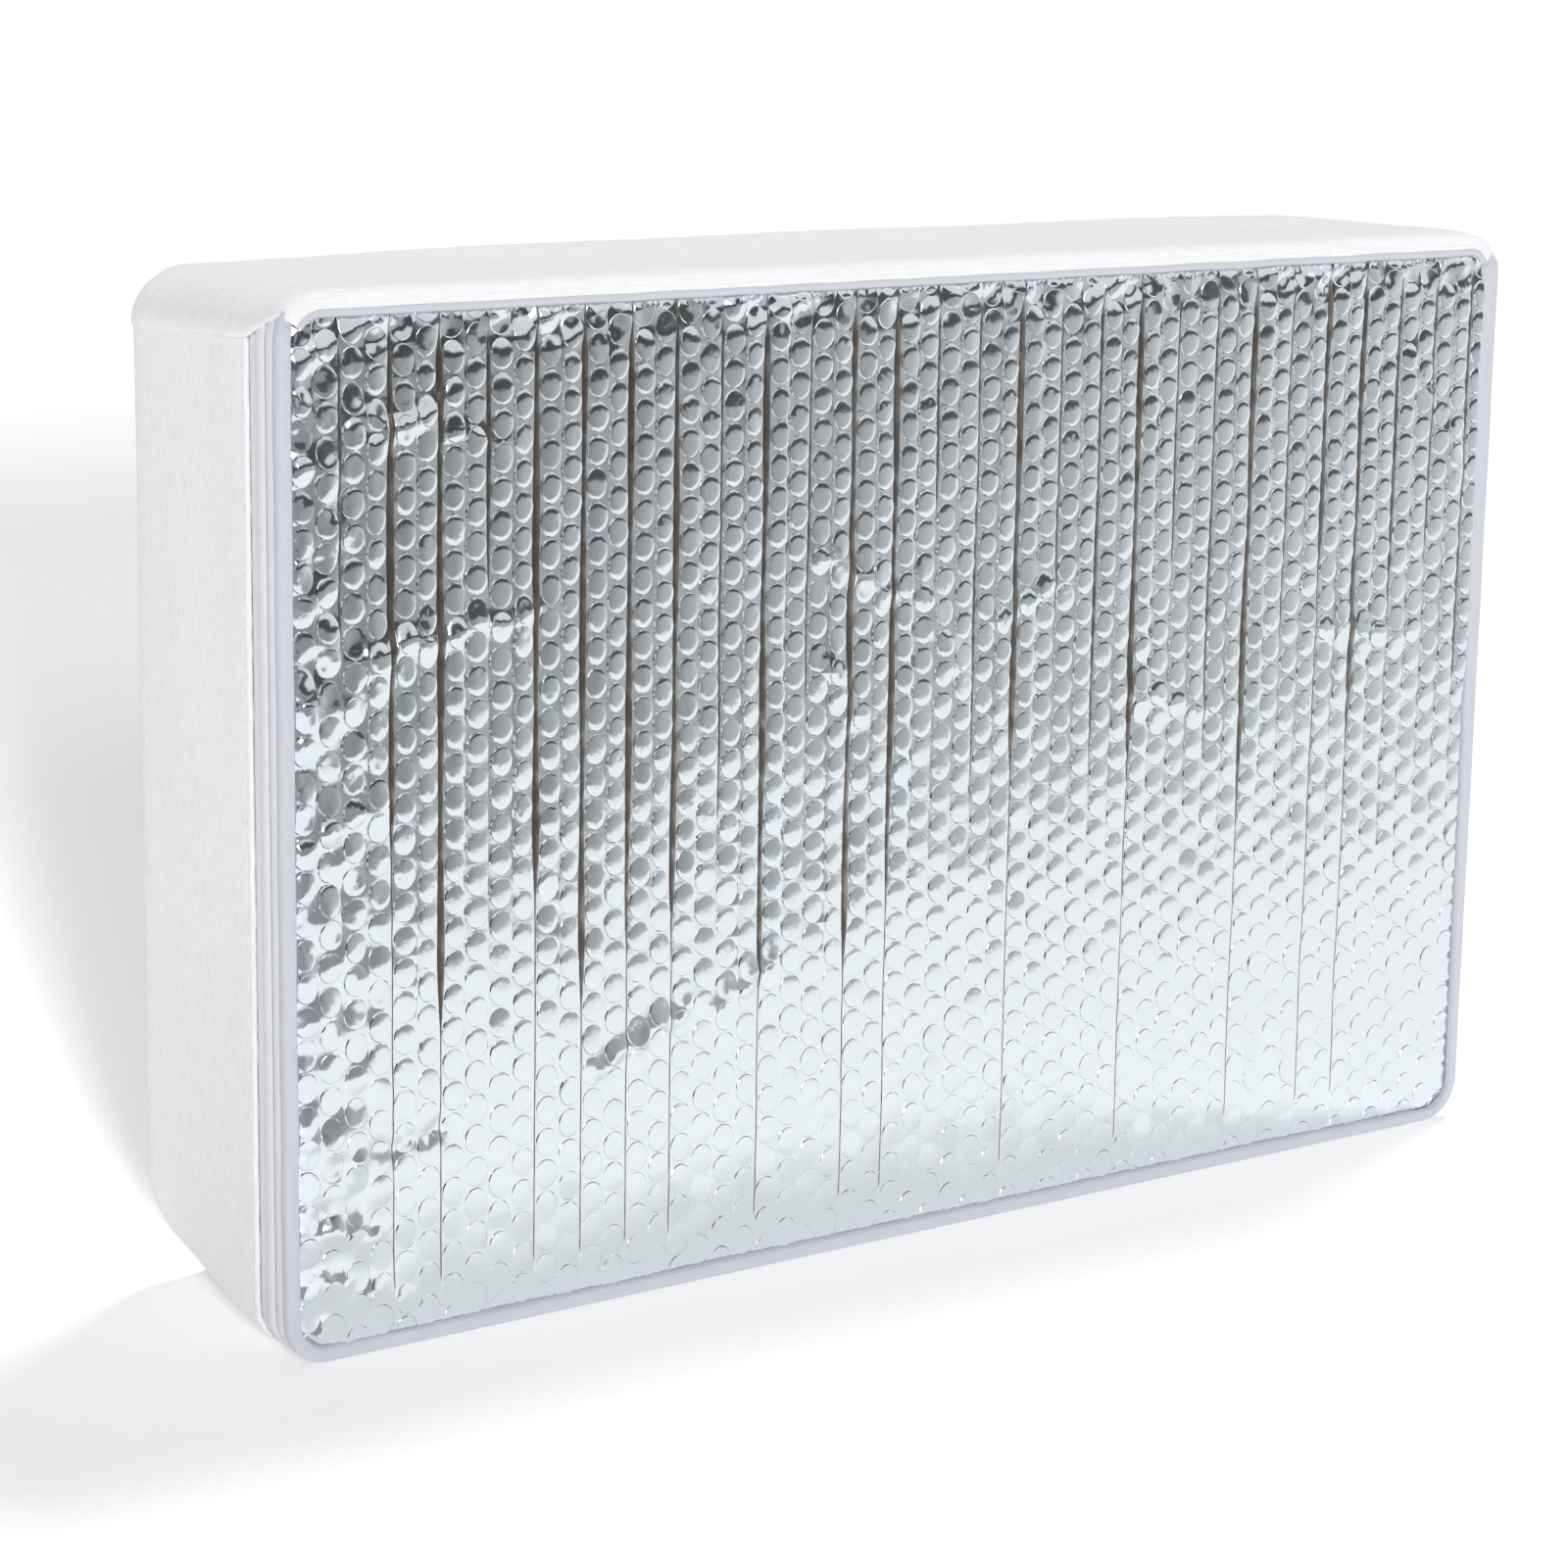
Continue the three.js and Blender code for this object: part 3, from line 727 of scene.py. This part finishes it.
def top_gusset():
    rows = perimeter(0, 2 * (TOP_MIDDLE - LAP_FRONT + LAP_FALL), 3.2)
    share = rows / rows[-1]
    roll = [
        (FRONT + 3.2, -8.6), (FRONT + 1.6, -8.7), (FRONT + 0.5, -8.2), (FRONT + 0.1, -6.6),
        (FRONT + 0.35, -4.4), (FRONT + 1.6, -1.9), (FRONT + 4.0, -0.5), (FRONT + 7.5, 0),
    ]
    back = [(BACK_SEAM - 7, 0), (BACK_SEAM - 3.2, -0.5), (BACK_SEAM - 1.1, -1.8), (BACK_SEAM, -3.6)]
    middle = [(y, 0) for y in np.arange(FRONT + 10, BACK_SEAM - 8, 4.0)]
    line = np.concatenate([rounded(roll), np.array(middle, float), rounded(back)])
    start = lap_end(line[:, 0])
    pp = start[None] + (2 * TOP_MIDDLE - 2 * start)[None] * share[:, None]
    yy = np.broadcast_to(line[:, 0], pp.shape)
    from_end = np.minimum(pp - start, 2 * TOP_MIDDLE - start - pp)
    over = 1.0 * (1 - smooth(from_end, 4, 26)) - 1.0 * (1 - smooth(from_end, -0.5, 1.6))
    to_middle = np.abs(pp - TOP_MIDDLE) / (TOP_MIDDLE - SIDE_END)
    crown = 1.8 * smooth(yy, 0, BACK - 10) * (1 - smooth(to_middle, 0.3, 0.95))
    pucker = ripple(pp, yy * 0.3, 0.16, 12, 41) * (bump(yy, FRONT + 8, 5) + bump(yy, BACK_SEAM, 9))
    gather = ripple(pp * 0.6, yy, 0.35, 9, 43) * (1 - smooth(from_end, 2, 16))
    broad = ripple(pp, yy * 2, 0.3, 120, 42) * smooth(yy, FRONT, FRONT + 20)
    out = np.broadcast_to(line[:, 1], pp.shape) + over + crown + pucker + gather + broad
    grid = outline(pp, yy, out)
    run = np.concatenate([[0], np.cumsum(np.linalg.norm(np.diff(line, axis=0), axis=1))])
    return cloth("gusset_top", grid, np.stack([pp, np.broadcast_to(run, pp.shape)], -1), CLOTH)


def top_binding():
    """The narrow band below the top roll that holds the foil's upper edge."""
    reach = 2 * TOP_MIDDLE
    p = perimeter(LAP_FRONT + 0.5, reach - LAP_FRONT - 0.5, 5.0)
    line = rounded([
        (FRONT + 2.8, -9.3), (FRONT + 1.6, -9.2), (FRONT + 0.5, -8.8),
        (FRONT - 0.2, -7.6), (FRONT + 0.05, -6.2), (FRONT + 1.0, -5.6),
    ])
    grid, uv = profile_grid(p, line, lambda a, b: ripple(a, b, 0.12, 30, 51))
    return cloth("top_binding", grid, uv, 0.5)


def towards_middle(points, share):
    """Points of the outline moved in towards the line along the middle of the pad's faces."""
    reach = HALF_WIDTH - HEIGHT / 2
    middle = points.copy()
    middle[..., 0] = np.clip(points[..., 0], -reach, reach)
    middle[..., 2] = HEIGHT / 2
    return points + (middle - points) * np.asarray(share)[..., None]


def round_the_pad(step):
    return perimeter(-TOP_MIDDLE, TOP_MIDDLE, step)[:-1]


def back_cloth():
    p = round_the_pad(4.0)
    edge = rounded([
        (BACK_SEAM + 0.2, -4.4), (BACK_SEAM + 0.6, -3.0), (BACK_SEAM + 1.6, -3.4), (BACK - 0.7, -5.6),
        (BACK - 0.2, -9.0),
    ])
    shares = np.linspace(0.0, 1.0, 40)[1:] ** 1.1
    yy = np.concatenate([edge[:, 0], np.full(len(shares), BACK - 0.2)])
    out = np.concatenate([edge[:, 1], np.full(len(shares), -9.0)])
    share = np.concatenate([np.zeros(len(edge)), shares])
    pp, yy = np.meshgrid(p, yy, indexing="ij")
    grid = outline(pp, yy, out)
    centre = np.stack([np.zeros(pp.shape), grid[..., 1], np.full(pp.shape, HEIGHT / 2)], -1)
    grid += (centre - grid) * share[None, :, None]
    x, z = grid[..., 0], grid[..., 2]
    slack = ripple(x, z, 0.5, 120, 61) + ripple(x, z, 0.12, 34, 62)
    pucker = ripple(pp, share * 60, 0.2, 12, 63) * bump(share, 0.02, 0.05)
    grid[..., 1] += (slack - 0.6) * smooth(share, 0, 0.15) + pucker
    obj = cloth("back_cloth", grid, np.stack([grid[..., 0], grid[..., 2]], -1), CLOTH, closed=True)
    weld(obj)
    return obj


def foam_block():
    """The foam fills the cover, set back on three sides where the zipper presses into it."""
    low, high = box_mm("foam_core")
    p = round_the_pad(6.0)
    rebate = HALF_WIDTH - box_mm("slider_body")[0][0] + 0.6
    skin = HALF_WIDTH - high[0] + 0.3
    step_y = box_mm("zipper_tape_rear")[1][1] + 1.0
    face = low[1] + 0.6
    line = rounded([
        (face, -rebate - 3), (face, -rebate - 1), (face + 1, -rebate), (step_y - 1, -rebate),
        (step_y, -rebate + 1), (step_y + 1, -skin), (high[1] - 4, -skin), (high[1] - 1, -skin - 1.5),
        (high[1] - 0.4, -skin - 4),
    ], 1)
    caps = np.linspace(1.0, 0.0, 10)[:-1]
    yy = np.concatenate([np.full(9, line[0, 0]), line[:, 0], np.full(9, line[-1, 0])])
    out = np.concatenate([np.full(9, line[0, 1]), line[:, 1], np.full(9, line[-1, 1])])
    share = np.concatenate([caps, np.zeros(len(line)), caps[::-1]])
    pp, yy = np.meshgrid(p, yy, indexing="ij")
    grid = towards_middle(outline(pp, yy, out), np.broadcast_to(share, pp.shape))
    rows, columns = pp.shape
    index = np.arange(rows * columns).reshape(rows, columns)
    following = np.roll(index, -1, 0)
    a, b, c, d = index[:, :-1], index[:, 1:], following[:, 1:], following[:, :-1]
    faces = np.stack([a, b, c, d], -1).reshape(-1, 4)
    obj = new_object("foam_block", grid.reshape(-1, 3), faces)
    weld(obj)
    return obj


border = ride_pad(front_border(), border_tint_and_shade)
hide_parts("front_border")

gusset_sides = ride_pad(zip_gusset(), cover_cloth)
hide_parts("zip_gusset_rear")

gusset_top = ride_pad(top_gusset(), cover_cloth)
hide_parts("top_gusset")

binding = ride_pad(top_binding(), border_tint_and_shade)

back = ride_pad(back_cloth(), cover_cloth)
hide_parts("back_panel")

block = ride_pad(foam_block(), foam)
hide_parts("foam_core")


# ---- The zipper ----------------------------------------------------------------------------


def sunk(p):
    """1 on the side where the slider runs, where the tapes lie in the slider's channel. They don't
    part for the slider, which cuts into their edges."""
    return smooth(p, HALF_BOTTOM - 30, HALF_BOTTOM + 6)


def zipper_tape(name, points):
    """One tape of the zipper, with its cross-section as (y, out) points."""
    reach = LAP_FRONT + 4
    p = perimeter(-reach, reach, 5.0)
    line = rounded(points)

    def lift(pp, yy):
        raised = np.broadcast_to(line[:, 1], pp.shape)
        channel = -TAPE_DEPTH + 0.2 * (raised + 0.2)
        return (np.minimum(channel, -TAPE_DEPTH) - raised) * sunk(pp)

    grid, uv = profile_grid(p, line, lift)
    return cloth(name, grid, uv, 0.6)


front_tape = ride_pad(zipper_tape("tape_front", [
    (BORDER_BACK - 0.1, -2.0), (BORDER_BACK + 0.2, -1.0), (BORDER_BACK + 0.9, -0.4),
    (BORDER_BACK + 2.6, -0.25), (BORDER_BACK + 4.2, -0.4), (ZIP_LINE - 0.9, -0.9), (ZIP_LINE - 0.55, -1.7),
]), tape_cloth)
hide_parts("zipper_tape_front")

rear_tape = ride_pad(zipper_tape("tape_rear", [
    (ZIP_LINE + 0.05, -1.7), (ZIP_LINE + 0.3, -0.8), (ZIP_LINE + 1.2, -0.25), (ZIP_LINE + 3.0, -0.1),
    (ZIP_LINE + 4.6, -0.35), (ZIP_LINE + 5.1, -1.0), (ZIP_LINE + 6.5, -1.1), (ZIP_LINE + 9.5, -1.15),
    (HEM - 0.4, -1.5), (HEM + 1.2, -2.2), (TAPE_END - 0.2, -2.3),
]), tape_cloth)
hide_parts("zipper_tape_rear")


def stitches(name, middles, alongs, outwards, length, radius):
    """Short stitches, each a slightly arched six-sided thread that dips in at both ends."""
    sides, rings = 6, 5
    share = np.linspace(-1, 1, rings)
    thick = radius * np.array([0.45, 1, 1, 1, 0.45])
    rise = radius * (0.7 - 1.9 * share**4)
    turn = 2 * math.pi * np.arange(sides) / sides
    across = np.cross(alongs, outwards)
    centres = (
        middles[:, None] + alongs[:, None] * (share * length / 2)[None, :, None]
        + outwards[:, None] * rise[None, :, None]
    )
    ring = (
        across[:, None, None] * (np.cos(turn)[None, :] * thick[:, None])[None, ..., None]
        + outwards[:, None, None] * (np.sin(turn)[None, :] * thick[:, None])[None, ..., None]
    )
    points = (centres[:, :, None] + ring).reshape(-1, 3)
    one = np.arange(rings * sides).reshape(rings, sides)
    following = np.roll(one, -1, 1)
    quads = np.stack([one[:-1], following[:-1], following[1:], one[1:]], -1).reshape(-1, 4)
    faces = []
    for i in range(len(middles)):
        faces += (quads + i * rings * sides).tolist()
        faces.append((one[0][::-1] + i * rings * sides).tolist())
        faces.append((one[-1] + i * rings * sides).tolist())
    return new_object(name, points, faces)


def hem_thread():
    """The topstitch that holds the tape under the cloth's hem."""
    reach = LAP_FRONT - LAP_FALL - 2
    p = np.arange(-reach, reach, 3.6)
    here, ahead = outline(p, HEM + 3.0, -0.2), outline(p + 0.5, HEM + 3.0, -0.2)
    outer = outline(p, HEM + 3.0, 0.8)
    along = (ahead - here) / np.linalg.norm(ahead - here, axis=1)[:, None]
    return stitches("hem_thread", here, along, outer - here, 3.0, 0.22)


topstitch = ride_pad(hem_thread(), thread)


def dress(name, material):
    """A CAD part that stays gets its material."""
    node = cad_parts[name]
    node.data.materials.clear()
    node.data.materials.append(material)
    return node


for name in ("zipper_coil_front", "zipper_coil_rear", "top_stop_front", "top_stop_rear", "bottom_stop"):
    dress(name, coil_plastic)

SOFT_EDGE = 0.22
for name in ("slider_body", "slider_pull"):
    bevel = dress(name, enamel).modifiers.new("soft_edges", "BEVEL")
    bevel.width = SOFT_EDGE * MM
    bevel.segments = 2
    bevel.limit_method = "ANGLE"


# ---- Camera, floor and light ---------------------------------------------------------------

camera = bpy.data.objects.new("camera", bpy.data.cameras.new("camera"))
bpy.context.scene.collection.objects.link(camera)
camera.data.lens = 92.85
camera.data.sensor_width = 36
CAMERA_YAW, CAMERA_PITCH, CAMERA_ROLL = -35.537, 12.561, 0.946
camera.matrix_world = (
    Matrix.Translation((-0.8791, -1.1861, 0.4882))
    @ Matrix.Rotation(math.radians(CAMERA_YAW), 4, "Z")
    @ Matrix.Rotation(math.radians(90 - CAMERA_PITCH), 4, "X")
    @ Matrix.Rotation(math.radians(CAMERA_ROLL), 4, "Z")
)
bpy.context.scene.camera = camera
bpy.context.scene.view_settings.view_transform = "Standard"


def panel(name, corners, material):
    """A flat four-cornered panel, in metres, that is part of the studio."""
    obj = new_object(name, np.array(corners) / MM, [(0, 1, 2, 3)], flat=True)
    obj.data.materials.append(material)
    return obj


def only_in_reflections(obj):
    """The panel shows in mirrors, and neither to the camera nor as light or shadow."""
    obj.visible_camera = False
    obj.visible_diffuse = False
    obj.visible_shadow = False
    obj.visible_transmission = False
    obj.visible_volume_scatter = False


def glow(name, along, stops):
    """An even glow whose colour runs along one axis of the room."""
    material = bpy.data.materials.new(name)
    material.use_nodes = True
    tree = material.node_tree
    tree.nodes.clear()
    place = tree.nodes.new("ShaderNodeTexCoord")
    split = tree.nodes.new("ShaderNodeSeparateXYZ")
    tree.links.new(place.outputs["Object"], split.inputs[0])
    spread = tree.nodes.new("ShaderNodeMapRange")
    spread.inputs["From Min"].default_value = stops[0][0]
    spread.inputs["From Max"].default_value = stops[-1][0]
    tree.links.new(split.outputs[along], spread.inputs["Value"])
    ramp = tree.nodes.new("ShaderNodeValToRGB")
    elements = ramp.color_ramp.elements
    while len(elements) < len(stops):
        elements.new(0.5)
    length = stops[-1][0] - stops[0][0]
    for element, (where, colour) in zip(elements, stops):
        element.position = (where - stops[0][0]) / length
        element.color = (*colour, 1)
    tree.links.new(spread.outputs[0], ramp.inputs["Fac"])
    light = tree.nodes.new("ShaderNodeEmission")
    tree.links.new(ramp.outputs["Color"], light.inputs["Color"])
    output = tree.nodes.new("ShaderNodeOutputMaterial")
    tree.links.new(light.outputs[0], output.inputs["Surface"])
    return material


floor_material = Nodes("floor", (0.86, 0.86, 0.86), 0.9).material
floor_material.node_tree.nodes["Principled BSDF"].inputs["Specular IOR Level"].default_value = 0.1
FLOOR = 30.0
floor = panel("floor", [
    (-FLOOR, -FLOOR, 0), (FLOOR, -FLOOR, 0), (FLOOR, FLOOR, 0), (-FLOOR, FLOOR, 0),
], floor_material)

CARD_LEFT, CARD_RIGHT, CARD_Y = -1.2, 2.0, -0.58


def card(name, low, high, colours):
    """A standing card in front of the foil, of which only the reflection shows."""
    only_in_reflections(panel(name, [
        (CARD_LEFT, CARD_Y, low), (CARD_RIGHT, CARD_Y, low),
        (CARD_RIGHT, CARD_Y, high), (CARD_LEFT, CARD_Y, high),
    ], glow(name + "_glow", "X", colours)))


card("grey_card", 0.0, 0.30, [
    (-1.2, (0.40, 0.39, 0.39)), (-0.1, (0.33, 0.33, 0.335)), (0.2, (0.50, 0.505, 0.51)),
    (0.5, (0.60, 0.605, 0.61)), (0.9, (0.80, 0.81, 0.82)), (2.0, (0.85, 0.85, 0.86)),
])
card("dark_card", 0.30, 0.45, [
    (-1.2, (0.05, 0.05, 0.05)), (0.1, (0.07, 0.07, 0.07)), (1.6, (0.14, 0.14, 0.15)),
])
card("upper_card", 0.45, 0.95, [
    (-1.2, (0.5, 0.5, 0.5)), (0.1, (0.85, 0.85, 0.85)), (1.6, (0.95, 0.95, 0.96)),
])
flag_glow = glow("flag_glow", "Z", [(0.0, (0.10, 0.08, 0.07)), (0.8, (0.04, 0.035, 0.03))])
only_in_reflections(panel("side_flag", [
    (-1.0, -0.8, 0.0), (-1.0, 0.6, 0.0), (-1.0, 0.6, 0.8), (-1.0, -0.8, 0.8),
], flag_glow))

bright_card = glow("bright_card", "X", [(-2.0, (1.1, 1.1, 1.1)), (2.5, (1.1, 1.1, 1.1))])
only_in_reflections(panel("high_card", [
    (-2.0, -0.9, 0.95), (2.5, -0.9, 0.95), (2.5, -0.3, 2.2), (-2.0, -0.3, 2.2),
], bright_card))


def studio_world():
    """Even light from all round. The camera sees it as white as the floor."""
    world = bpy.data.worlds.new("studio")
    bpy.context.scene.world = world
    world.use_nodes = True
    tree = world.node_tree
    path = tree.nodes.new("ShaderNodeLightPath")
    strength = tree.nodes.new("ShaderNodeMapRange")
    strength.inputs["To Min"].default_value = ROOM_LIGHT
    strength.inputs["To Max"].default_value = 1.0
    tree.links.new(path.outputs["Is Camera Ray"], strength.inputs["Value"])
    tree.nodes["Background"].inputs["Color"].default_value = (1.0, 1.0, 1.0, 1)
    tree.links.new(strength.outputs[0], tree.nodes["Background"].inputs["Strength"])


def soft_sun(name, azimuth, elevation, floor_share, softness):
    """A distant soft light that gives the floor a share of its brightness. Azimuth 0 shines
    along +Y and 90 along -X, as for the camera."""
    a, e = math.radians(azimuth), math.radians(elevation)
    light = bpy.data.lights.new(name, "SUN")
    light.energy = floor_share * math.pi / math.sin(e)
    light.angle = math.radians(softness)
    obj = bpy.data.objects.new(name, light)
    bpy.context.scene.collection.objects.link(obj)
    towards = Vector((math.sin(a) * math.cos(e), -math.cos(a) * math.cos(e), math.sin(e)))
    obj.rotation_euler = towards.to_track_quat("Z", "Y").to_euler()
    return obj


ROOM_LIGHT = 0.42
studio_world()
soft_sun("fill", -21, 20, 0.14, 10)
soft_sun("key", 118, 64, 0.38, 12)

# This one lights the floor alone, and the pad's long shadow from it shows beside the pad.
backdrop_lamp = soft_sun("backdrop", -20, 9, 0.36, 6)
floor_only = bpy.data.collections.new("lit_by_backdrop")
floor_only.objects.link(floor)
backdrop_lamp.light_linking.receiver_collection = floor_only
